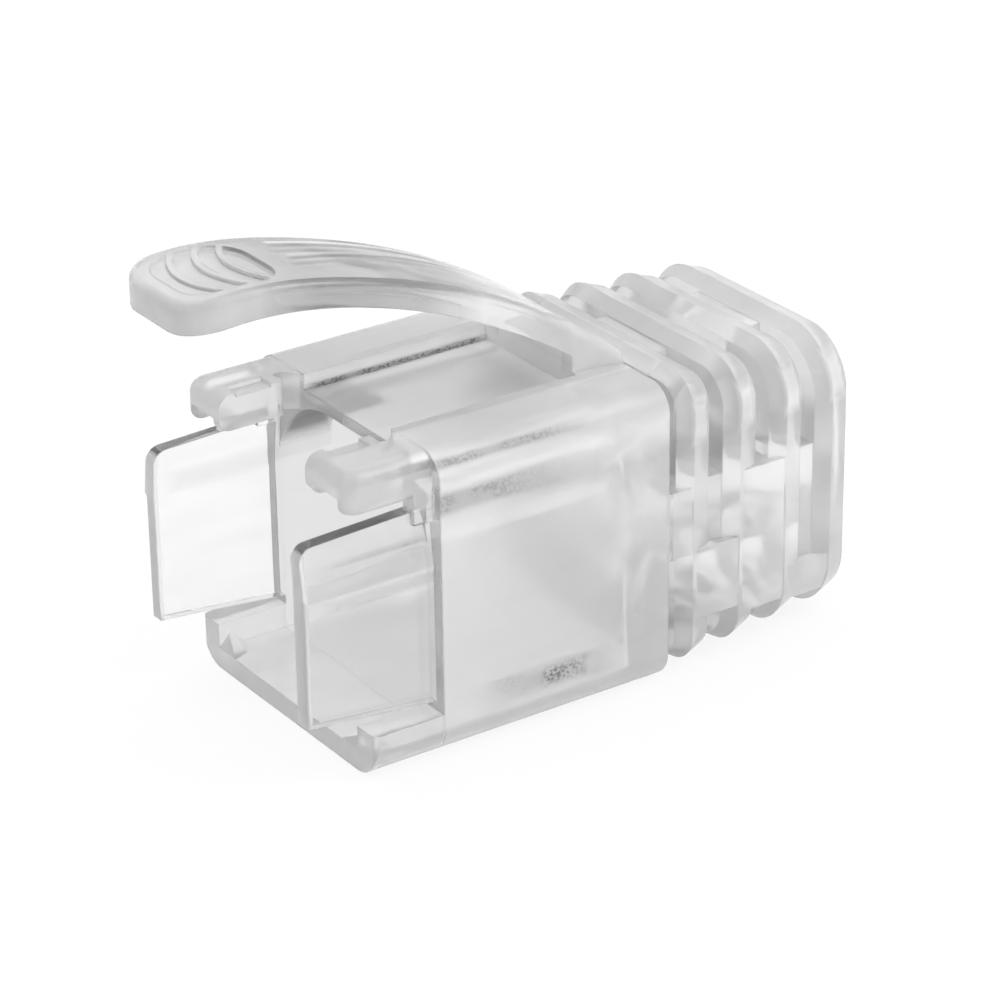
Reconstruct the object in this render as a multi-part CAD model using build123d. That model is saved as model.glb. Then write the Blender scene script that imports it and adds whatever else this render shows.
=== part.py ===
from build123d import *
import os

# Body: a rounded box open at its front end, x = 0, and closed towards the tail
BODY_WIDTH = 14.5
BODY_HEIGHT = 14.5
BODY_LENGTH = 12.1
BODY_TOP_RADIUS = 1.25
BODY_BOTTOM_RADIUS = 1.5

# Plug cavity: flat floor and walls under a vaulted roof
CAVITY_WIDTH = 11.68
CAVITY_DEPTH = 10.7
CAVITY_END_RADIUS = 0.8
FLOOR = 1.0
VAULT_CREST = 3.3
VAULT_RADIUS = 4.35
ROOF = 0.55

# Channel along the top, between the two rails
CHANNEL_WIDTH = 7.1
CHANNEL_DEPTH = 0.72
CHANNEL_LENGTH = 9.7

# Wings: thin side plates that reach forward from the cavity walls
WING_REACH = 6.55
WING_THICKNESS = 0.83
WING_LOW_FRONT = 3.3
WING_LOW_ROOT = 2.65
WING_TOP_FRONT = 11.65
WING_TOP_ROOT = 11.9
WING_OUTER_CREASE = 9.2
WING_INNER_CREASE = 10.2
WING_OUTER_LEAN = 0.35
WING_INNER_LEAN = 0.2
WING_CORNER_RADIUS = 0.7
WING_EDGE_RADIUS = 0.25

# Tongue: the floor carried forward, with an upstand along each side and a catch tooth beside it
TONGUE_REACH = 3.6
TONGUE_CORNER_RADIUS = 0.3
UPSTAND_HEIGHT = 1.2
TOOTH_LENGTH = 1.6
TOOTH_PEAK = 0.7
TOOTH_WIDTH = 1.4
TOOTH_TOE = 0.8
TOOTH_HEIGHT = 0.8

# Tabs: the rails carried forward as two noses, hollow underneath between two skirts
TAB_REACH = 4.35
TAB_OUTER_DEPTH = 2.1
TAB_INNER_DEPTH = 1.7
TAB_TOP_RADIUS = 0.7
TAB_CORNER_RADIUS = 0.85
TAB_CHIN_RADIUS = 0.55
POCKET_LENGTH = 1.1
POCKET_ROOF = 1.15
OUTER_SKIRT = 0.63
INNER_SKIRT = 0.5
LEAD_IN_WIDTH = 0.85
LEAD_IN_DEPTH = 0.18
LEAD_IN_START = 0.9
LEAD_IN_LENGTH = 1.8
NOTCH_LENGTH = 1.1
NOTCH_FACET = 0.7
SLIT_LENGTH = 3.4
SLIT_DROP = 0.3

# Arm: a thin blade that rises from the rear of the channel and curls forward over the tabs
ARM_WIDTH = 6.3
ARM_ROOT_WIDTH = 7.6
ARM_ROOT_FLARE = 4.5
ARM_TIP_X = -9.35
ARM_TIP_RADIUS = 1.85
ARM_TIP = (22.0, 20.6)
ARM_PAD = (-6.9, 22.3, 20.93)
ARM_SHOULDER = (-1.1, 21.5, 20.25)
ARM_SLOPE = (6.0, 18.95, 17.5)
ARM_REAR = (15.1, 13.6)
ARM_EDGE_RADIUS = 0.4

# Finger rest near the arm's tip: a shallow hollow crossed by curved ridges
REST_FRONT = 0.75
REST_LENGTH = 4.5
REST_WIDTH = 4.7
REST_DEPTH = 0.18
REST_CORNER_RADIUS = 1.4
RIDGE_COUNT = 3
RIDGE_START = 0.6
RIDGE_PITCH = 1.2
RIDGE_WIDTH = 0.3
RIDGE_RADIUS = 3.8

# Tail: ribbed sleeve with cross slots round a plain core
RING_COUNT = 4
RING_PITCH = 2.65
RING_LENGTH = 1.78
RING_CHAMFER_LENGTH = 0.7
RING_CHAMFER = 0.45
RING_TAPER = 0.38
TAIL_WIDTH = 14.0
TAIL_HEIGHT = 14.3
TAIL_WIDTH_STEP = 0.1
TAIL_HEIGHT_STEP = 0.08
TAIL_FIRST_RADIUS = 1.7
TAIL_LAST_RADIUS = 3.0
CORE_RADIUS = 4.75
WEB_TOP = 9.2
WEB_BOTTOMS = (5.9, 2.5, 2.0, 1.6)
WEB_INSET = 0.04
GROOVE_HEIGHTS = (0, 3.2, 0, 5.6)
GROOVE_DEPTH = 0.5
BRIDGE_WIDTH = 4.6
BRIDGE_INSET = 0.55

# Cable bore through the tail, with a cone from the cavity and a rounded mouth
BORE_RADIUS = 3.5
BORE_CONE = 0.9
BORE_MOUTH_RADIUS = 0.5

ROOF_TOP = BODY_HEIGHT - CHANNEL_DEPTH
VAULT_TOP = ROOF_TOP - ROOF
WING_OUTER = CAVITY_WIDTH / 2 + WING_THICKNESS
AXIS_HEIGHT = BODY_HEIGHT / 2
TAIL_START = BODY_LENGTH + RING_PITCH - RING_LENGTH
TAIL_END = TAIL_START + (RING_COUNT - 1) * RING_PITCH + RING_LENGTH
REACH = 2 * max(WING_REACH, TAB_REACH, TONGUE_REACH)


def along_x(profile, start, end):
    """Extrude a profile drawn in (y, z) from x = start to x = end."""
    return extrude(Plane.YZ.offset(start) * profile, end - start)


def across_y(outline, width):
    """Extrude an outline drawn in (x, z) to both sides of the middle plane."""
    return extrude(Plane.XZ * outline, width / 2, both=True)


def mirrored(solid):
    """The solid and its mirror image on the other side of the middle plane."""
    return solid + mirror(solid, Plane.XZ)


def band(width, low, high):
    """A plain rectangle in (y, z), centred in y."""
    return Pos(0, (low + high) / 2) * Rectangle(width, high - low)


def rounded_band(width, low, high, low_radius, high_radius):
    """A rectangle in (y, z) with rounded lower and upper corners."""
    face = band(width, low, high)
    face = fillet(face.vertices().group_by(Axis.Y)[-1], high_radius)
    return fillet(face.vertices().group_by(Axis.Y)[0], low_radius)


def body_profile():
    return rounded_band(BODY_WIDTH, 0, BODY_HEIGHT, BODY_BOTTOM_RADIUS, BODY_TOP_RADIUS)


def cavity():
    """Plug space: straight walls that cut off the flanks of a wider vault."""
    vault = band(VAULT_CREST + 2 * VAULT_RADIUS, FLOOR, VAULT_TOP)
    vault = fillet(vault.vertices().group_by(Axis.Y)[-1], VAULT_RADIUS)
    space = along_x(vault & band(CAVITY_WIDTH, FLOOR, VAULT_TOP), -REACH, CAVITY_DEPTH)
    end = space.faces().sort_by(Axis.X)[-1].edges()
    return fillet(end.sort_by(Axis.Z)[1:], CAVITY_END_RADIUS)


def channel():
    """Open groove in the top face, from the front to the arm's root."""
    return along_x(band(CHANNEL_WIDTH, ROOF_TOP, BODY_HEIGHT + CHANNEL_DEPTH), -REACH, CHANNEL_LENGTH)


def wing():
    """One side plate: upright below its creases, leaning inwards above them."""
    inner = CAVITY_WIDTH / 2
    section = make_face(Polyline(
        (inner, 0),
        (WING_OUTER, 0),
        (WING_OUTER, WING_OUTER_CREASE),
        (WING_OUTER - WING_OUTER_LEAN, WING_TOP_ROOT),
        (inner - WING_INNER_LEAN, WING_TOP_ROOT),
        (inner, WING_INNER_CREASE),
        close=True,
    ))
    side = make_face(Polyline(
        (-WING_REACH, WING_LOW_FRONT),
        (0, WING_LOW_ROOT),
        (WING_THICKNESS, WING_LOW_ROOT),
        (WING_THICKNESS, WING_TOP_ROOT),
        (0, WING_TOP_ROOT),
        (-WING_REACH, WING_TOP_FRONT),
        close=True,
    ))
    side = fillet(side.vertices().sort_by(Axis.X)[:2].sort_by(Axis.Y)[-1], WING_CORNER_RADIUS)
    plate = along_x(section, -WING_REACH, WING_THICKNESS) & across_y(side, BODY_WIDTH)
    nose = plate.faces().sort_by(Axis.X)[0]
    return fillet(nose.edges().sort_by(Axis.Y)[-1], WING_EDGE_RADIUS)


def tongue():
    """Floor plate with its side upstands, rounded at the front corners."""
    low = body_profile() & band(BODY_WIDTH, 0, FLOOR + UPSTAND_HEIGHT)
    plan = Rectangle(2 * TONGUE_REACH, BODY_WIDTH)
    plan = fillet(plan.vertices().group_by(Axis.X)[0], TONGUE_CORNER_RADIUS)
    return along_x(low, -TONGUE_REACH, WING_THICKNESS) & extrude(plan, BODY_HEIGHT)


def tooth():
    """Catch tooth: a pyramid against the upstand, its peak at the wall."""
    wall = CAVITY_WIDTH / 2 + WING_THICKNESS / 2
    front = -TONGUE_REACH
    toe = CAVITY_WIDTH / 2 - TOOTH_WIDTH
    foot = make_face(Polyline(
        (front, wall),
        (front, toe),
        (front + TOOTH_TOE, toe + TOOTH_WIDTH / 5),
        (front + TOOTH_LENGTH, wall),
        close=True,
    ))
    peak = Vertex(front + TOOTH_PEAK, wall, FLOOR + TOOTH_HEIGHT)
    return loft([Pos(0, 0, FLOOR) * foot, peak])


def tab():
    """One rail's forward nose: rounded in front, hollow underneath, stepped along its inner edge."""
    inner = CHANNEL_WIDTH / 2
    top = BODY_HEIGHT
    section = make_face(Polyline(
        (inner, top - TAB_INNER_DEPTH),
        (inner, top),
        (WING_OUTER, top),
        (WING_OUTER, top - TAB_OUTER_DEPTH),
        close=True,
    ))
    nose = along_x(section, -TAB_REACH, WING_THICKNESS)
    nose = fillet(nose.edges().filter_by(Axis.Z).group_by(Axis.X)[0].sort_by(Axis.Y)[-1], TAB_CORNER_RADIUS)
    edges = nose.faces().sort_by(Axis.Z)[-1].edges()
    outer = edges.sort_by(Axis.Y)[-1]
    front = edges.sort_by(Axis.X)[0]
    nose = fillet([outer, front], TAB_TOP_RADIUS)
    chin = nose.faces().sort_by(Axis.Z)[0].edges().sort_by(Axis.X)[0]
    nose = fillet(chin, TAB_CHIN_RADIUS)
    return nose - nose_pocket(inner) - lead_in(inner) + gusset()


def nose_pocket(inner):
    """Hollow under the nose, between its outer and inner skirts and open in front."""
    low = inner + INNER_SKIRT
    high = WING_OUTER - OUTER_SKIRT
    height = 2 * TAB_OUTER_DEPTH
    hollow = Pos((low + high) / 2, BODY_HEIGHT - POCKET_ROOF - height / 2) * Rectangle(high - low, height)
    return along_x(hollow, -REACH, POCKET_LENGTH - TAB_REACH)


def gusset():
    """Web that joins the nose to the wing under it, behind the slit that parts them."""
    web = band(WING_THICKNESS, WING_TOP_FRONT - SLIT_DROP, BODY_HEIGHT - TAB_TOP_RADIUS)
    return along_x(Pos(CAVITY_WIDTH / 2 + WING_THICKNESS / 2, 0) * web, SLIT_LENGTH - TAB_REACH, WING_THICKNESS)


def lead_in(inner):
    """Shallow step along the nose's inner top edge, and a faceted notch where it meets the rail."""
    strip = Pos(inner, BODY_HEIGHT) * Rectangle(2 * LEAD_IN_WIDTH, 2 * LEAD_IN_DEPTH)
    start = LEAD_IN_START - TAB_REACH
    side = inner + LEAD_IN_WIDTH
    notch = make_face(Polyline(
        (-NOTCH_LENGTH, inner - LEAD_IN_WIDTH),
        (-NOTCH_LENGTH, side),
        (-NOTCH_FACET, side),
        (0, side - NOTCH_FACET),
        (0, inner - LEAD_IN_WIDTH),
        close=True,
    ))
    notch = Pos(0, 0, BODY_HEIGHT - 2 * TAB_INNER_DEPTH) * extrude(notch, 3 * TAB_INNER_DEPTH)
    return along_x(strip, start, start + LEAD_IN_LENGTH) + notch


def arm_curve(side, drop=0):
    """The arm's upper (side 0) or lower (side 1) curve in (x, z), lowered by drop."""
    return Spline(
        (ARM_TIP_X, ARM_TIP[side] - drop),
        (ARM_PAD[0], ARM_PAD[1 + side] - drop),
        (ARM_SHOULDER[0], ARM_SHOULDER[1 + side] - drop),
        (ARM_SLOPE[0], ARM_SLOPE[1 + side] - drop),
        (BODY_LENGTH, ARM_REAR[side] - drop),
    )


def arm_plan():
    """The arm seen from above: a blunt tip and a root that widens to the rails."""
    half = ARM_WIDTH / 2
    root = ARM_ROOT_WIDTH / 2
    flare = BODY_LENGTH - ARM_ROOT_FLARE
    tip = ARM_TIP_X + ARM_TIP_RADIUS
    side = [
        Line((ARM_TIP_X, 0), (ARM_TIP_X, half - ARM_TIP_RADIUS)),
        RadiusArc((ARM_TIP_X, half - ARM_TIP_RADIUS), (tip, half), ARM_TIP_RADIUS),
        Line((tip, half), (flare, half)),
        Spline((flare, half), (BODY_LENGTH, root), tangents=((1, 0), (1, 0.35))),
        Line((BODY_LENGTH, root), (BODY_LENGTH, 0)),
    ]
    return make_face(Curve(side) + mirror(Curve(side), Plane.XZ))


def blade(first, second):
    """Face in (x, z) between two side curves of the arm."""
    return make_face(first + second + Line(first @ 0, second @ 0) + Line(first @ 1, second @ 1))


def finger_rest():
    """Hollow near the tip that follows the arm's top, less its curved ridges."""
    skin = blade(arm_curve(0, -REST_DEPTH), arm_curve(0, REST_DEPTH))
    front = ARM_TIP_X + REST_FRONT
    plan = Pos(front + REST_LENGTH / 2, 0) * RectangleRounded(REST_LENGTH, REST_WIDTH, REST_CORNER_RADIUS)
    for index in range(RIDGE_COUNT):
        crest = front + RIDGE_START + index * RIDGE_PITCH
        ring = Circle(RIDGE_RADIUS) - Circle(RIDGE_RADIUS - RIDGE_WIDTH)
        half = Pos(-RIDGE_RADIUS / 2, 0) * Rectangle(RIDGE_RADIUS, 2 * RIDGE_RADIUS)
        plan -= Pos(crest + RIDGE_RADIUS, 0) * (ring & half)
    return across_y(skin, ARM_WIDTH) & extrude(plan, 2 * BODY_HEIGHT)


def arm():
    """Curved blade with rounded edges, on a block that fills the rear end of the channel."""
    solid = across_y(blade(arm_curve(0), arm_curve(1)), ARM_ROOT_WIDTH)
    solid &= extrude(arm_plan(), 2 * BODY_HEIGHT)
    top = solid.faces().filter_by(lambda face: face.normal_at().Z > 0.5).edges()
    solid = fillet(top.filter_by(lambda edge: edge.center().X < BODY_LENGTH - 0.01), ARM_EDGE_RADIUS)
    return solid + arm_root() - finger_rest()


def arm_root():
    """Block under the arm, from the channel floor up into the blade."""
    curve = arm_curve(0, (ARM_REAR[0] - ARM_REAR[1]) / 2)
    under = make_face(
        curve
        + Polyline(curve @ 1, (BODY_LENGTH, ROOF_TOP - ROOF / 2), (ARM_TIP_X, ROOF_TOP - ROOF / 2), curve @ 0)
    )
    block = Pos((CHANNEL_LENGTH + BODY_LENGTH) / 2, 0) * Rectangle(
        BODY_LENGTH - CHANNEL_LENGTH, ARM_ROOT_WIDTH)
    footprint = block & arm_plan()
    return across_y(under, ARM_ROOT_WIDTH) & extrude(footprint, 2 * BODY_HEIGHT)


def ring_profile(index, inset):
    """Outline of one tail ring, drawn in by inset on every side."""
    share = index / (RING_COUNT - 1)
    radius = TAIL_FIRST_RADIUS + share * (TAIL_LAST_RADIUS - TAIL_FIRST_RADIUS)
    width = TAIL_WIDTH - index * TAIL_WIDTH_STEP - 2 * inset
    height = TAIL_HEIGHT - index * TAIL_HEIGHT_STEP - 2 * inset
    low = AXIS_HEIGHT - height / 2
    return rounded_band(width, low, low + height, radius - inset, radius - inset)


def ring(index):
    """One tail ring: a chamfered front and an outer face that narrows to the rear."""
    start = TAIL_START + index * RING_PITCH
    crest = start + RING_CHAMFER_LENGTH
    front = loft([
        Plane.YZ.offset(start) * ring_profile(index, RING_CHAMFER),
        Plane.YZ.offset(crest) * ring_profile(index, 0),
    ])
    rear = loft([
        Plane.YZ.offset(crest) * ring_profile(index, 0),
        Plane.YZ.offset(start + RING_LENGTH) * ring_profile(index, RING_TAPER),
    ])
    return front + rear


def slot_filling(index):
    """What joins the tail across one slot: side webs, some grooved, and a bridge over every other slot."""
    end = TAIL_START + index * RING_PITCH + RING_CHAMFER_LENGTH
    start = max(end - RING_PITCH, BODY_LENGTH - FLOOR)
    groove = WEB_TOP - GROOVE_HEIGHTS[index]
    web = ring_profile(index, WEB_INSET) & band(BODY_WIDTH, WEB_BOTTOMS[index], groove)
    filling = along_x(web, start, end)
    if index % 2 == 1:
        grooved = ring_profile(index, GROOVE_DEPTH) & band(BODY_WIDTH, groove, WEB_TOP)
        roof = ring_profile(index, BRIDGE_INSET) & band(BRIDGE_WIDTH, AXIS_HEIGHT, BODY_HEIGHT)
        filling += along_x(grooved, start, end) + along_x(roof, start, end)
    return filling


def tail():
    core = Pos(BODY_LENGTH - FLOOR, 0, AXIS_HEIGHT) * Rot(0, 90, 0) * Cylinder(
        CORE_RADIUS, TAIL_END - BODY_LENGTH, align=(Align.CENTER, Align.CENTER, Align.MIN))
    solid = core
    for index in range(RING_COUNT):
        solid += ring(index) + slot_filling(index)
    return solid


def cable_bore():
    """Through hole on the tail's axis, opened out at both ends."""
    wall = CAVITY_DEPTH
    mouth = BORE_RADIUS + BORE_MOUTH_RADIUS
    profile = make_face(
        Polyline(
            (wall - BORE_CONE, 0),
            (wall - BORE_CONE, BORE_RADIUS + 2 * BORE_CONE),
            (wall + BORE_CONE, BORE_RADIUS),
            (TAIL_END - BORE_MOUTH_RADIUS, BORE_RADIUS),
        )
        + RadiusArc((TAIL_END - BORE_MOUTH_RADIUS, BORE_RADIUS), (TAIL_END, mouth), BORE_MOUTH_RADIUS)
        + Polyline((TAIL_END, mouth), (TAIL_END + 1, mouth), (TAIL_END + 1, 0), (wall - BORE_CONE, 0))
    )
    return Pos(0, 0, AXIS_HEIGHT) * revolve(Plane.XZ * profile, Axis.X)


def strain_relief_boot():
    solid = along_x(body_profile(), 0, BODY_LENGTH) + tongue() - channel()
    solid -= cavity()
    solid += mirrored(wing()) + mirrored(tooth()) + mirrored(tab())
    solid += arm() + tail()
    return solid - cable_bore()


os.makedirs("parts", exist_ok=True)
export_step(strain_relief_boot(), "parts/strain_relief_boot.step")
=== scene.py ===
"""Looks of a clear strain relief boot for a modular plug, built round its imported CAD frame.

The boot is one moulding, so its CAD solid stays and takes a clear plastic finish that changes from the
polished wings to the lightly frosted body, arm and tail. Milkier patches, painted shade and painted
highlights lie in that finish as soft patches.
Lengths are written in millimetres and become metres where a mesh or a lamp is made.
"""

from __future__ import annotations

import functools
import logging
import math
import operator
from dataclasses import dataclass, field
from enum import Enum
from typing import Mapping, Sequence, Union

import bpy
import numpy as np
from mathutils import Matrix, Vector

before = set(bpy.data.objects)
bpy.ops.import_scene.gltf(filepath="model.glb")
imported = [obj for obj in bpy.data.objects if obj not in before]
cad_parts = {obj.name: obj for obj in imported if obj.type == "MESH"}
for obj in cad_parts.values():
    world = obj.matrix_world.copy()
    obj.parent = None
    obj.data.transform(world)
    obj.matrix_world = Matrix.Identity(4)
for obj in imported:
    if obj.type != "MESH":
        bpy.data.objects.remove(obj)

LOG = logging.getLogger("strain_relief_boot")
MM = 0.001
BOOT_NODE = "strain_relief_boot"
ENDLESS = 99.0
FEW_WALLS = 2

Colour = tuple[float, float, float, float]
Value = Union["Sock", float, int, Sequence[float]]
Triple = tuple[float, float, float]
Span = tuple[float, float]


def grey(level: float) -> Colour:
    """An opaque neutral colour of that linear level."""
    return (level, level, level, 1.0)


class Sock:
    """An output of a node, with arithmetic that adds Math nodes to its graph."""

    def __init__(self, graph: "Graph", socket: bpy.types.NodeSocket | None) -> None:
        """Keeps the graph and the output that this value stands for."""
        self.graph = graph
        self.socket = socket

    def _math(self, operation: str, *operands: Value) -> "Sock":
        """One Math node on these operands, in their order."""
        return self.graph.node("ShaderNodeMath", {"operation": operation}, dict(enumerate(operands)))

    def __add__(self, other: Value) -> "Sock":
        """This value plus the other."""
        return self._math("ADD", self, other)

    def __radd__(self, other: Value) -> "Sock":
        """The other value plus this."""
        return self._math("ADD", other, self)

    def __sub__(self, other: Value) -> "Sock":
        """This value less the other."""
        return self._math("SUBTRACT", self, other)

    def __rsub__(self, other: Value) -> "Sock":
        """The other value less this."""
        return self._math("SUBTRACT", other, self)

    def __mul__(self, other: Value) -> "Sock":
        """This value times the other."""
        return self._math("MULTIPLY", self, other)

    def __rmul__(self, other: Value) -> "Sock":
        """The other value times this."""
        return self._math("MULTIPLY", other, self)

    def __abs__(self) -> "Sock":
        """This value without its sign."""
        return self._math("ABSOLUTE", self)

    def __or__(self, other: Value) -> "Sock":
        """The greater of two masks."""
        return self._math("MAXIMUM", self, other)

    __ror__ = __or__

    def __and__(self, other: Value) -> "Sock":
        """The lesser of two masks."""
        return self._math("MINIMUM", self, other)

    __rand__ = __and__

    def step(self, low: float, high: float) -> "Sock":
        """A mask that rises smoothly from 0 at low to 1 at high.

        Args:
            low: The value where the mask is 0. It may be above high, for a mask that falls.
            high: The value where the mask is 1.

        Returns:
            The mask.
        """
        inputs = {"Value": self, "From Min": low, "From Max": high}
        return self.graph.node("ShaderNodeMapRange", {"interpolation_type": "SMOOTHSTEP"}, inputs)

    def line(self, slope: float, offset: float) -> "Sock":
        """This value times a slope, plus an offset, in one node."""
        return self._math("MULTIPLY_ADD", self, slope, offset)

    def spread(self, low: float, high: float) -> "Sock":
        """A value from 0 to 1 laid out evenly from low to high."""
        return self.line(high - low, low)


class Graph:
    """The node tree of one finish, floor or sky."""

    def __init__(self, owner: Union[bpy.types.Material, bpy.types.World]) -> None:
        """Empties the owner's node tree and takes it over.

        Args:
            owner: The material or world whose nodes these become.
        """
        world = isinstance(owner, bpy.types.World)
        self.output = "ShaderNodeOutputWorld" if world else "ShaderNodeOutputMaterial"
        owner.use_nodes = True
        self.tree = owner.node_tree
        self.tree.nodes.clear()

    def node(
        self,
        kind: str,
        settings: Mapping[str, object] | None = None,
        inputs: Mapping[Union[str, int], Value] | None = None,
        output: Union[str, int] = 0,
    ) -> Sock:
        """Adds one node.

        Args:
            kind: The node's type.
            settings: The node's own settings. They are set first, because some change the sockets.
            inputs: A value or a link for each named or numbered socket.
            output: The name or number of the output that is wanted.

        Returns:
            That output. Its socket's node gives the others.
        """
        node = self.tree.nodes.new(kind)
        for name, value in (settings or {}).items():
            setattr(node, name, value)
        for key, value in (inputs or {}).items():
            if isinstance(value, Sock):
                self.tree.links.new(value.socket, node.inputs[key])
            else:
                node.inputs[key].default_value = value
        return Sock(self, node.outputs[output] if len(node.outputs) else None)

    def mix_colour(self, share: Value, low: Value, high: Value) -> Sock:
        """A colour between low and high, by share."""
        return self.node("ShaderNodeMix", {"data_type": "RGBA"}, {0: share, 6: low, 7: high}, 2)

    def blend(self, share: Value, low: Value, high: Value) -> Sock:
        """A vector between low and high, by share."""
        return self.node("ShaderNodeMix", {"data_type": "VECTOR"}, {0: share, 4: low, 5: high}, 1)

    def vector(self, operation: str, *operands: Value) -> Sock:
        """One Vector Math node on these operands, in their order."""
        return self.node("ShaderNodeVectorMath", {"operation": operation}, dict(enumerate(operands)))

    def apart(self, value: Sock) -> tuple[Sock, Sock, Sock]:
        """The three numbers of a vector."""
        node = self.node("ShaderNodeSeparateXYZ", {}, {"Vector": value}).socket.node
        return tuple(Sock(self, node.outputs[axis]) for axis in "XYZ")

    def noise(self, place: Sock, size: float, detail: float = 0.0, roughness: float = 0.5) -> Sock:
        """Soft random value from 0 to 1 whose features are about size millimetres across."""
        inputs = {"Vector": place, "Scale": 1 / (size * MM), "Detail": detail, "Roughness": roughness}
        return self.node("ShaderNodeTexNoise", {}, inputs, "Fac")

    def finish(self, surface: Sock) -> None:
        """Links the surface to the material's or world's output."""
        self.node(self.output, {}, {"Surface": surface})


@dataclass(frozen=True)
class Point:
    """The shaded point in millimetres: its axes, its distance from the middle plane, and both as vectors."""

    graph: Graph
    x: Sock
    y: Sock
    z: Sock
    side: Sock
    plain: Sock
    folded: Sock

    @classmethod
    def of(cls, graph: Graph, place: Sock) -> "Point":
        """Reads the point, once for all masks.

        Args:
            graph: The finish's graph.
            place: The place in metres, on Object coordinates.

        Returns:
            The point. Its folded vector has the distance from the middle plane instead of y.
        """
        plain = graph.vector("MULTIPLY", place, (1 / MM,) * 3)
        x, y, z = graph.apart(plain)
        side = abs(y)
        folded = graph.node("ShaderNodeCombineXYZ", {}, {"X": x, "Y": side, "Z": z})
        return cls(graph, x, y, z, side, plain, folded)

    def box(self, low: Triple, high: Triple, soft: Triple, one_side: bool) -> Sock:
        """A mask that is 1 inside a box and falls evenly to 0 over a rim outside it.

        With l and u the box's lower and upper corners and s the rim's width, the mask at p is the least of
        1 + (p - l) / s and 1 + (u - p) / s over the box's walls. A wall at ENDLESS is left out. The mask
        isn't held between 0 and 1, because a Mix node does that.

        Args:
            low: The box's lower corner.
            high: The box's upper corner.
            soft: The rim's width on each axis.
            one_side: Whether the second axis is y instead of the distance from the middle plane.

        Returns:
            The mask.
        """
        lower, upper, rim = (np.array(corner, dtype=float) for corner in (low, high, soft))
        walls = np.abs([lower, upper]) < ENDLESS
        if np.count_nonzero(walls) > FEW_WALLS:
            return self._closed_box(lower, upper, rim, one_side)
        axes = (self.x, self.y if one_side else self.side, self.z)
        rising = [axes[n].line(1 / rim[n], 1 - lower[n] / rim[n]) for n in np.flatnonzero(walls[0])]
        falling = [axes[n].line(-1 / rim[n], 1 + upper[n] / rim[n]) for n in np.flatnonzero(walls[1])]
        return functools.reduce(operator.and_, rising + falling)

    def _closed_box(self, lower: np.ndarray, upper: np.ndarray, rim: np.ndarray, one_side: bool) -> Sock:
        """The same mask from vectors: the least of 1 + (h - |p - c|) / s, with centre c and half size h.

        Args:
            lower: The box's lower corner.
            upper: The box's upper corner.
            rim: The rim's width on each axis.
            one_side: Whether the second axis is y instead of the distance from the middle plane.

        Returns:
            The mask.
        """
        place = self.plain if one_side else self.folded
        centred = self.graph.vector("MULTIPLY_ADD", place, tuple(1 / rim), tuple(-(lower + upper) / 2 / rim))
        away = self.graph.vector("ABSOLUTE", centred)
        inside = self.graph.vector("SUBTRACT", tuple(1 + (upper - lower) / 2 / rim), away)
        axes = zip(self.graph.apart(inside), upper - lower)
        return functools.reduce(operator.and_, [axis for axis, reach in axes if reach < 2 * ENDLESS])


@dataclass(frozen=True)
class Patch:
    """A soft-edged box on the boot, in millimetres, where the plastic has a look of its own.

    Its second axis is the distance from the middle plane, so it lies on both sides unless it is one-sided.
    A mark says no roughness, because roughness is read before the marks are laid.
    """

    low: Triple
    high: Triple
    soft: Triple
    tone: float
    milk: float
    roughness: float = 0.0
    grain: float = 0.0
    one_side: bool = False

    def lay(self, graph: Graph, point: Point, speck: Sock, look: Value) -> Sock:
        """Lays the patch over a look.

        Args:
            graph: The finish's graph.
            point: The shaded point.
            speck: Fine random value that breaks the patch up by its grain.
            look: The tone, milk and roughness under the patch, as a vector.

        Returns:
            The look with the patch on it.
        """
        mask = point.box(self.low, self.high, self.soft, self.one_side)
        if self.grain:
            mask = (mask & 1.0) * speck.spread(1.0 - self.grain, 1.0)
        return graph.blend(mask, look, (self.tone, self.milk, self.roughness))


REGIONS = {
    "tongue": Patch((-ENDLESS, -ENDLESS, -ENDLESS), (-0.1, ENDLESS, 2.3), (0.1, 1, 0.2), 1.0, 0.36, 0.1),
    "tabs": Patch((-9.0, -ENDLESS, 12.1), (-0.1, ENDLESS, 15), (0.1, 1, 0.2), 1.0, 0.4, 0.16),
    "body": Patch((0.1, -ENDLESS, -1), (12.3, ENDLESS, 14.6), (0.2, 1, 0.3), 1.0, 0.46, 0.26),
    "cavity": Patch((0.1, 0, 0.9), (10.6, 6.0, 13.3), (0.2, 0.3, 0.2), 1.0, 0.05, 0.08),
    "tail": Patch((12.6, -ENDLESS, -ENDLESS), (ENDLESS, ENDLESS, ENDLESS), (0.3, 1, 1), 1.0, 0.36, 0.14),
    "arm": Patch((-ENDLESS, -ENDLESS, 16.0), (5.5, ENDLESS, ENDLESS), (4.0, 1, 1.4), 0.55, 0.14, 0.06),
    "arm_front": Patch((-ENDLESS, -ENDLESS, 19), (-6.0, ENDLESS, ENDLESS), (3.0, 1, 1), 0.88, 0.3, 0.26),
}
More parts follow.
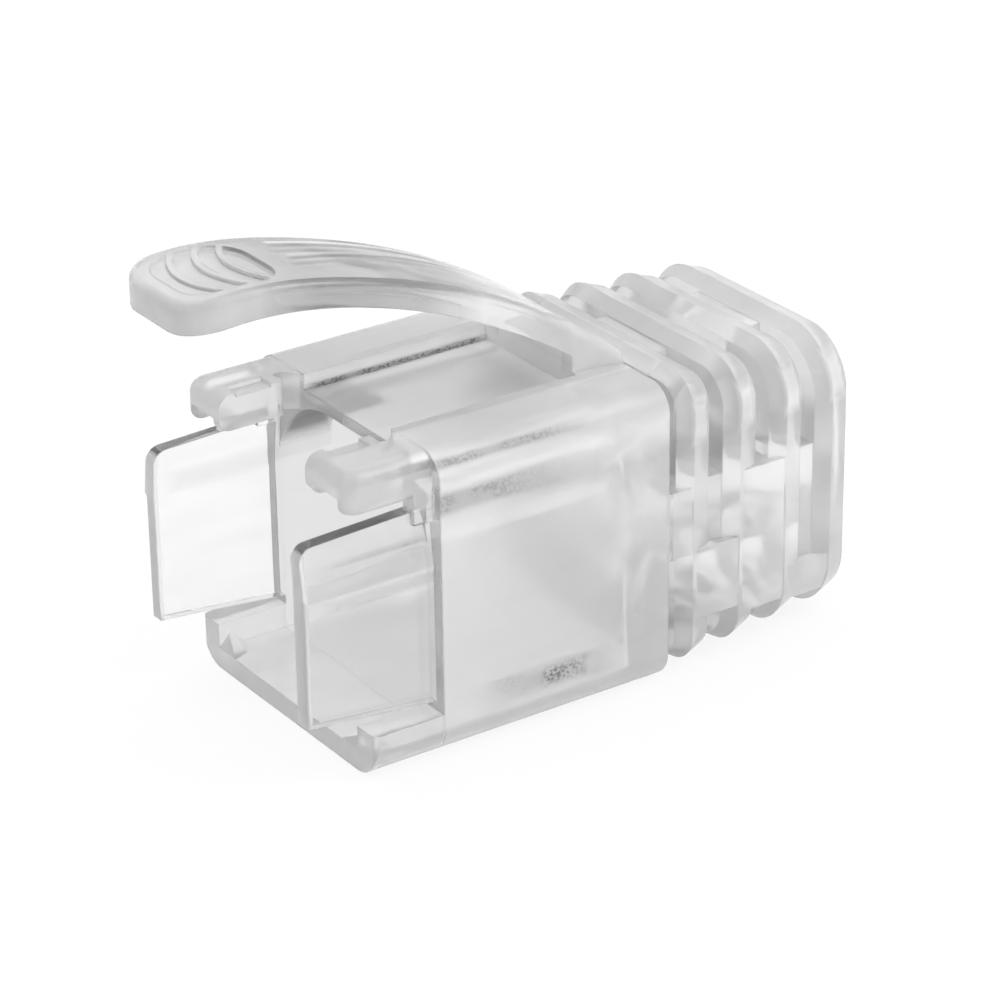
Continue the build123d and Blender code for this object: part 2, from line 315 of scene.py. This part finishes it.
# Milkier patches, painted shade and painted highlights, laid over the regions.
FROST_AND_PAINTED_LIGHT = {
    "wing_nose": Patch((-9.0, 5.4, 3), (-6.4, 6.9, 12), (0.12, 0.1, 0.4), 1.0, 0.5),
    # Painted shade just below the crease on the near wing's outer face.
    "wing_crease_shade": Patch((-4.6, -6.9, 8.6), (-0.2, -6.4, 8.85), (1.4, 0.1, 0.25), 0.74, 0.3, one_side=True),
    # Painted shade just below the crease on the wings' inner faces.
    "inner_crease_shade": Patch((-5.2, 5.5, 9.7), (-0.3, 5.95, 10.12), (1.0, 0.1, 0.5), 0.86, 0.1),
    "arm_root": Patch((9.9, 0, 13.9), (12.6, 4.2, 17), (1.4, 0.3, 0.3), 1.0, 0.6),
    # Painted shade inside the arch under the body's front, on its far half.
    "vault_shade": Patch((0.3, 0.8, 10.0), (2.2, 5.4, 13.3), (0.6, 0.5, 0.5), 0.22, 0.75, one_side=True),
    # Painted shade along the channel's corners, broken up by grain.
    "channel_corner_shade": Patch((0.8, 3.4, 13.7), (9.2, 3.62, 13.9), (0.9, 0.14, 0.14), 0.12, 0.9, grain=0.45),
    # Painted shade in a grainy line and a grainy band along the body's rounded top corners.
    "shoulder_shade_line": Patch((0.2, 6.5, 13.95), (5.2, 9, 14.12), (3.4, 0.1, 0.18), 0.3, 0.8, grain=0.35),
    "shoulder_shade_band": Patch((0.2, 6.9, 11.95), (2.8, 9, 12.6), (5.6, 0.1, 0.4), 0.36, 0.75, grain=0.35),
    # Painted shade on the body's rounded lower corners, broken up by grain.
    "foot_grain_and_shade": Patch((4.8, 6.2, 2.2), (6.4, 9, 2.6), (3.0, 0.2, 0.6), 0.16, 0.85, grain=0.55),
    # Painted highlight on the body's sides near the top rear corner.
    "rear_painted_highlight": Patch((10.8, 6.6, 12.7), (11.6, 9, 13.0), (2.6, 0.3, 1.2), 1.0, 0.95),
    # Painted highlight on the arm's sides towards its root.
    "arm_painted_highlight": Patch((5.2, 2.6, 15.0), (9.0, 4, 19.8), (3.0, 0.2, 0.9), 1.0, 0.34),
}


@dataclass(frozen=True)
class ArmLine:
    """A painted line along the arm's top, at y = offset + slope * x in millimetres, that fades out over its
    width. A light tone makes it a painted highlight and a dark one painted shade.
    """

    slope: float
    offset: float
    width: float
    tone: float
    milk: float


@dataclass(frozen=True)
class PaintedArmLines:
    """Two painted highlight lines with painted shade lines beside them along the arm's top, behind the finger
    rest.

    Each span says where a mask rises from 0 to 1. The core is the share of a line's width that is full.
    """

    lines: tuple[ArmLine, ...] = (
        ArmLine(0.05, 2.2, 0.24, 1.0, 0.6),
        ArmLine(0.05, 1.75, 0.26, 0.3, 0.3),
        ArmLine(0.16, 0.75, 0.2, 0.85, 0.35),
        ArmLine(0.16, 0.3, 0.26, 0.25, 0.3),
    )
    front: Span = (-2.9, -2.3)
    rear: Span = (9.0, 5.0)
    foot: Span = (17.0, 18.0)
    core: float = 0.3

    def lay(self, graph: Graph, point: Point, look: Sock) -> Sock:
        """Lays the painted lines over a look.

        Args:
            graph: The finish's graph.
            point: The shaded point.
            look: The look under the lines, as a vector.

        Returns:
            The look with the lines on it.
        """
        along = point.x.step(*self.front) & point.x.step(*self.rear) & point.z.step(*self.foot)
        # Each line is painted highlight where its tone is light and painted shade where it is dark.
        for line in self.lines:
            off = abs(point.y - point.x * line.slope - line.offset)
            mask = off.step(line.width, line.width * self.core) & along
            look = graph.blend(mask, look, (line.tone, line.milk, 0.0))
        return look


@dataclass(frozen=True)
class TailShadeAndHighlights:
    """Painted shade in the upper corners of the tail's slots, just above the webs, and a painted highlight on
    each ring's shoulder.

    Both come back with every ring: the turn is x less the start, taken over one pitch. Each span says where
    a mask rises from 0 to 1, in millimetres.
    """

    start: float = 12.97
    pitch: float = 2.65
    front: Span = (12.0, 12.3)
    outer: Span = (4.6, 5.8)
    slot: Span = (1.7, 1.95)
    slot_flank: Span = (7.0, 6.6)
    slot_foot: Span = (9.0, 9.3)
    slot_head: Span = (12.2, 10.2)
    slot_painted_shade: Triple = (0.58, 0.6, 0.0)
    shine_front: Span = (0.5, 0.9)
    shine_rear: Span = (1.75, 1.4)
    shine_foot: Span = (11.0, 12.0)
    shine_head: Span = (13.6, 12.8)
    shine_painted_highlight: Triple = (1.0, 0.75, 0.0)

    def lay(self, graph: Graph, point: Point, look: Sock) -> Sock:
        """Lays the painted shade in the slots' corners and the painted highlights on the rings over a look.

        Args:
            graph: The finish's graph.
            point: The shaded point.
            look: The look under the marks, as a vector.

        Returns:
            The look with the marks on it.
        """
        operands = {0: point.x - self.start, 1: self.pitch}
        turn = graph.node("ShaderNodeMath", {"operation": "FLOORED_MODULO"}, operands)
        outer = point.x.step(*self.front) & point.side.step(*self.outer)
        height = point.z.step(*self.slot_foot) & point.z.step(*self.slot_head)
        # Painted shade in each slot's upper corners.
        slot = turn.step(*self.slot) & point.side.step(*self.slot_flank) & height & outer
        look = graph.blend(slot, look, self.slot_painted_shade)
        # Painted highlight on each ring's shoulder.
        height = point.z.step(*self.shine_foot) & point.z.step(*self.shine_head)
        shine = turn.step(*self.shine_front) & turn.step(*self.shine_rear) & height & outer
        return graph.blend(shine, look, self.shine_painted_highlight)


@dataclass(frozen=True)
class ClearPlastic:
    """Clear, slightly grey moulded plastic, polished in some places and milky in others.

    A look is a vector of tone, milk and roughness: how light the plastic is, the share of milky plastic in
    it, and how rough it is. The tone and milk also carry painted shade and painted highlights. Sizes are in
    millimetres.
    """

    name: str = "clear_plastic"
    ior: float = 1.58
    wing_look: Triple = (0.985, 0.04, 0.03)
    milk_roughness: float = 0.8
    milk_through: float = 0.45
    cloud_size: float = 1.1
    cloud_span: Span = (0.3, 0.55)
    grain_size: float = 0.16
    grain_span: Span = (0.4, 0.6)
    grain_detail: float = 1.0
    grain_roughness: float = 0.7
    streak_size: float = 0.9
    streak_stretch: Triple = (0.25, 1.0, 1.0)
    streak_span: Span = (0.95, 1.05)
    wave_size: float = 2.4
    wave_height: float = 0.05
    edge_radius: float = 0.09
    edge_samples: int = 2
    rim_span: Span = (0.7, 1.0)
    rim_shade: float = 0.08
    painted_arm_lines: PaintedArmLines = PaintedArmLines()
    tail_shade_and_highlights: TailShadeAndHighlights = TailShadeAndHighlights()

    def material(self) -> bpy.types.Material:
        """Builds the finish: clear and milky plastic mixed by the look's milk, both tinted by its tone.

        Returns:
            The material.
        """
        material = bpy.data.materials.new(self.name)
        graph = Graph(material)
        place = graph.node("ShaderNodeTexCoord", {}, {}, "Object")
        tone, milk, roughness = self.look(graph, place)
        tint = graph.mix_colour(tone * self.shade(graph, place), grey(0.0), grey(1.0))
        shared = {"Base Color": tint, "IOR": self.ior, "Normal": self.relief(graph, place)}
        clear = graph.node("ShaderNodeBsdfPrincipled", {}, {
            **shared, "Roughness": roughness, "Transmission Weight": 1.0})
        milky = graph.node("ShaderNodeBsdfPrincipled", {}, {
            **shared, "Roughness": self.milk_roughness, "Transmission Weight": self.milk_through})
        graph.finish(graph.node("ShaderNodeMixShader", {}, {0: milk, 1: clear, 2: milky}))
        return material

    def look(self, graph: Graph, place: Sock) -> tuple[Sock, Sock, Sock]:
        """Lays every region, the milkier patches, the painted shade and highlights, and the painted lines
        over the wings' look.

        Args:
            graph: The finish's graph.
            place: The place in metres, on Object coordinates.

        Returns:
            The tone, the milk and the roughness.
        """
        point = Point.of(graph, place)
        cloud = graph.noise(place, self.cloud_size).step(*self.cloud_span)
        grain = graph.noise(place, self.grain_size, self.grain_detail, self.grain_roughness)
        speck = grain.step(*self.grain_span) * cloud
        look = self.wing_look
        for region in REGIONS.values():
            look = region.lay(graph, point, speck, look)
        roughness = graph.apart(look)[2]
        # Milkier patches, painted shade and painted highlights.
        for mark in FROST_AND_PAINTED_LIGHT.values():
            look = mark.lay(graph, point, speck, look)
        # Painted highlight and shade lines on the arm, then painted shade and highlights on the tail.
        look = self.tail_shade_and_highlights.lay(graph, point, self.painted_arm_lines.lay(graph, point, look))
        tone, milk, _ = graph.apart(look)
        return tone, milk, roughness

    def shade(self, graph: Graph, place: Sock) -> Sock:
        """Darkens the rim, where the surface turns away, and streaks the plastic slightly.

        Args:
            graph: The finish's graph.
            place: The place in metres, on Object coordinates.

        Returns:
            A factor on the tone.
        """
        facing = graph.node("ShaderNodeLayerWeight", {}, {"Blend": 0.5}, "Facing")
        streak = graph.noise(graph.vector("MULTIPLY", place, self.streak_stretch), self.streak_size)
        return (1 - facing.step(*self.rim_span) * self.rim_shade) * streak.spread(*self.streak_span)

    def relief(self, graph: Graph, place: Sock) -> Sock:
        """Breaks the edges by a small radius and lays soft waves over the surface.

        Args:
            graph: The finish's graph.
            place: The place in metres, on Object coordinates.

        Returns:
            The surface's normal.
        """
        height = graph.noise(place, self.wave_size) * self.wave_height
        edge = graph.node(
            "ShaderNodeBevel", {"samples": self.edge_samples}, {"Radius": self.edge_radius * MM})
        return graph.node("ShaderNodeBump", {}, {"Distance": MM, "Height": height, "Normal": edge})


@dataclass(frozen=True)
class PhotoCamera:
    """The camera that took the photograph, solved from the boot's edges, in millimetres and degrees."""

    azimuth: float = -34.226
    elevation: float = 26.029
    roll: float = -0.774
    distance: float = 176.93
    target: Triple = (8.286, 0.0, 6.214)
    focal_share: float = 3.8975
    sensor: float = 36.0
    shift: Span = (-0.00584, 0.02355)
    clip: Span = (0.01, 10.0)

    def axes(self) -> tuple[Vector, Vector, Vector]:
        """The camera's right, up and back directions.

        The back direction comes from azimuth and elevation as spherical angles. Right lies level and up
        closes the triad, and both then turn about the back direction by the roll.

        Returns:
            The three directions, each of length 1.
        """
        azimuth, elevation, roll = (math.radians(a) for a in (self.azimuth, self.elevation, self.roll))
        back = Vector((
            math.sin(azimuth) * math.cos(elevation),
            -math.cos(azimuth) * math.cos(elevation),
            math.sin(elevation),
        ))
        level = Vector((math.cos(azimuth), math.sin(azimuth), 0.0))
        upright = back.cross(level)
        right = math.cos(roll) * level + math.sin(roll) * upright
        up = math.cos(roll) * upright - math.sin(roll) * level
        return right, up, back

    def build(self) -> bpy.types.Object:
        """Builds the camera and makes it the scene's own.

        Returns:
            The camera.
        """
        data = bpy.data.cameras.new("photo_camera")
        data.sensor_width = self.sensor
        data.lens = self.focal_share * self.sensor
        data.shift_x, data.shift_y = self.shift
        data.clip_start, data.clip_end = self.clip
        camera = bpy.data.objects.new("photo_camera", data)
        right, up, back = self.axes()
        eye = (Vector(self.target) + self.distance * back) * MM
        camera.matrix_world = Matrix.Translation(eye) @ Matrix((right, up, back)).transposed().to_4x4()
        bpy.context.scene.collection.objects.link(camera)
        bpy.context.scene.camera = camera
        return camera


class Softbox(Enum):
    """The studio's lamps: name, direction from the boot, distance and size in metres, and power in watts."""

    KEY = ("key_softbox", (0.50, -0.44, 0.74), 0.50, 0.26, 0.7)
    TOP = ("top_softbox", (-0.25, 0.45, 0.86), 0.55, 0.36, 0.6)

    def build(self, centre: Vector) -> bpy.types.Object:
        """Hangs the lamp in its direction from the centre, facing it.

        Args:
            centre: The point that the lamp looks at, in metres.

        Returns:
            The lamp.
        """
        name, direction, distance, size, power = self.value
        data = bpy.data.lights.new(name, "AREA")
        data.shape = "SQUARE"
        data.size = size
        data.energy = power
        lamp = bpy.data.objects.new(name, data)
        away = Vector(direction).normalized()
        lamp.location = centre + away * distance
        lamp.rotation_mode = "QUATERNION"
        lamp.rotation_quaternion = away.to_track_quat("Z", "Y")
        bpy.context.scene.collection.objects.link(lamp)
        return lamp


@dataclass(frozen=True)
class Studio:
    """Pale floor, plain sky and soft lamps."""

    floor_half: float = 600.0
    floor_gap: float = 0.03
    floor_cells: int = 24
    floor_colour: float = 0.92
    floor_glow: float = 0.86
    wall_grey: float = 0.88
    wall_foot: Span = (0.02, 0.2)
    wall_head: Span = (0.95, 0.6)
    sky_grey: float = 0.97
    bounces: int = 6
    matt_bounces: int = 2
    centre: Triple = (7.0, 0.0, 8.0)

    def floor_mesh(self) -> bpy.types.Mesh:
        """Lays a level square grid: its points are (u, v) on a square, just under the boot's rest plane.

        Returns:
            The floor's mesh.
        """
        line = np.linspace(-self.floor_half, self.floor_half, self.floor_cells + 1) * MM
        u, v = np.meshgrid(line, line, indexing="ij")
        return grid_mesh("studio_floor", np.stack([u, v, np.full_like(u, -self.floor_gap * MM)], axis=-1))

    def floor_finish(self) -> bpy.types.Material:
        """Builds a pale matt floor that cameras, gloss and clear plastic see mostly as even white.

        Returns:
            The floor's material.
        """
        material = bpy.data.materials.new("pale_floor")
        graph = Graph(material)
        seen = graph.node("ShaderNodeLightPath", {}, {}, "Is Camera Ray") | self.shown(graph)
        matt = graph.node("ShaderNodeBsdfDiffuse", {}, {"Color": grey(self.floor_colour)})
        glow = graph.node("ShaderNodeEmission", {}, {"Color": grey(1.0), "Strength": 1.0})
        mixed = graph.node("ShaderNodeMixShader", {}, {0: seen * self.floor_glow, 1: matt, 2: glow})
        graph.finish(mixed)
        return material

    @staticmethod
    def shown(graph: Graph) -> Sock:
        """1 for rays that have met gloss or clear plastic last, and 0 for the others."""
        glossy = graph.node("ShaderNodeLightPath", {}, {}, "Is Glossy Ray")
        return glossy | graph.node("ShaderNodeLightPath", {}, {}, "Is Transmission Ray")

    def sky(self) -> bpy.types.World:
        """White for the camera and for the light on matt surfaces, and a soft studio room in gloss and glass.

        The room is white at and under the horizon, grey on the walls above it and paler overhead.

        Returns:
            The world.
        """
        world = bpy.data.worlds.new("studio_sky")
        graph = Graph(world)
        rise = graph.apart(graph.node("ShaderNodeTexCoord", {}, {}, "Generated"))[2]
        wall = rise.step(*self.wall_foot) & rise.step(*self.wall_head)
        high = rise.step(*reversed(self.wall_head))
        darker = wall * (1 - self.wall_grey) + high * (1 - self.sky_grey)
        strength = 1 - self.shown(graph) * darker
        graph.finish(graph.node("ShaderNodeBackground", {}, {"Color": grey(1.0), "Strength": strength}))
        return world

    def build(self) -> list[bpy.types.Object]:
        """Makes floor, sky, lamps and view settings.

        Returns:
            The floor and the lamps.
        """
        scene = bpy.context.scene
        scene.world = self.sky()
        scene.view_settings.view_transform = "Standard"
        scene.cycles.max_bounces = scene.cycles.transmission_bounces = self.bounces
        scene.cycles.diffuse_bounces = self.matt_bounces
        floor = piece("studio_floor", self.floor_mesh(), self.floor_finish())
        centre = Vector(self.centre) * MM
        return [floor, *(box.build(centre) for box in Softbox)]


def grid_mesh(name: str, points: np.ndarray) -> bpy.types.Mesh:
    """Makes a mesh of four-sided faces over a grid of points.

    Args:
        name: The mesh's name.
        points: Rows and columns of points in metres, with three numbers each.

    Returns:
        The mesh. Its faces look to the side where rows and columns turn anticlockwise.
    """
    rows, columns, _ = points.shape
    number = np.arange(rows * columns).reshape(rows, columns)
    faces = np.stack([number[:-1, :-1], number[1:, :-1], number[1:, 1:], number[:-1, 1:]], axis=-1)
    mesh = bpy.data.meshes.new(name)
    mesh.from_pydata(points.reshape(-1, 3).tolist(), [], faces.reshape(-1, 4).tolist())
    mesh.update()
    return mesh


def piece(name: str, mesh: bpy.types.Mesh, material: bpy.types.Material) -> bpy.types.Object:
    """Puts a mesh into the scene as a piece with one finish.

    Args:
        name: The piece's name.
        mesh: Its mesh.
        material: Its finish.

    Returns:
        The piece's object.
    """
    mesh.materials.append(material)
    made = bpy.data.objects.new(name, mesh)
    bpy.context.scene.collection.objects.link(made)
    return made


@dataclass
class Boot:
    """The moulding itself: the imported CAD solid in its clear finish."""

    plastic: ClearPlastic = field(default_factory=ClearPlastic)

    def dress(self) -> bpy.types.Object:
        """Gives the CAD node its finish.

        Returns:
            The node's object.
        """
        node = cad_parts[BOOT_NODE]
        material = self.plastic.material()
        for slot in node.material_slots:
            slot.material = material
        return node


def main() -> None:
    """Builds the studio, the boot and the camera, and reports each piece."""
    logging.basicConfig(level=logging.INFO, format="%(name)s: %(message)s")
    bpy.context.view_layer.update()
    for made in Studio().build():
        LOG.info("studio: %s", made.name)
    boot = Boot().dress()
    LOG.info("piece: %s, %d faces", boot.name, len(boot.data.polygons))
    LOG.info("camera: %s", PhotoCamera().build().name)


if __name__ == "__main__":
    main()
